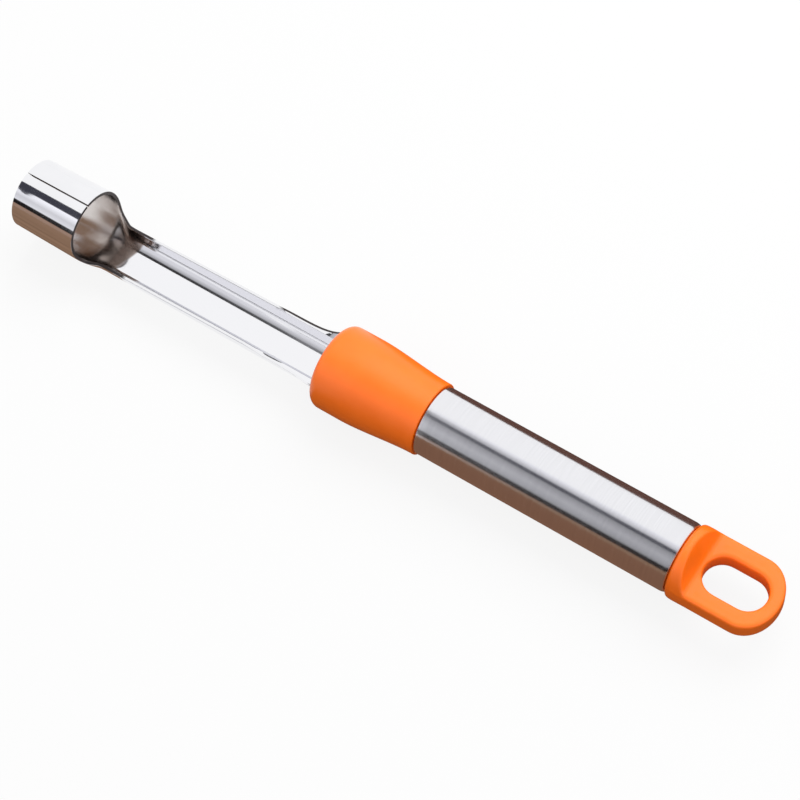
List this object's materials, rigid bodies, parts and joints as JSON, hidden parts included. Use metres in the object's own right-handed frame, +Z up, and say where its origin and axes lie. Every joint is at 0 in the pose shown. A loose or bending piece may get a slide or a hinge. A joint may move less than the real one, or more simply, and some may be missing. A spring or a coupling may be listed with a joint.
{
  "type": "apple corer",
  "caption": "Hand apple corer: rolled sheet-steel cutter ring and open trough shank, moulded plastic collar, round steel tube handle, and a plastic end cap with a hanging slot.",
  "frame": {"origin": "on the surface that the corer lies on, under the middle of its length and under the handle's axis", "axes": "+X along the handle from the cutting mouth to the hanging loop, +Z up out of the open side of the trough, +Y to the left when looking along +X"},
  "size_m": [0.2194, 0.0226, 0.0246],
  "materials": {
    "blade_steel": "mirror-polished stainless steel",
    "tube_steel": "satin stainless steel, brushed round the tube",
    "orange_plastic": "moulded orange plastic with a soft sheen"
  },
  "bodies": {
    "root": {"corer_blade": "blade_steel", "front_collar": "orange_plastic", "handle_tube": "tube_steel", "end_cap": "orange_plastic"}
  },
  "joints": []
}
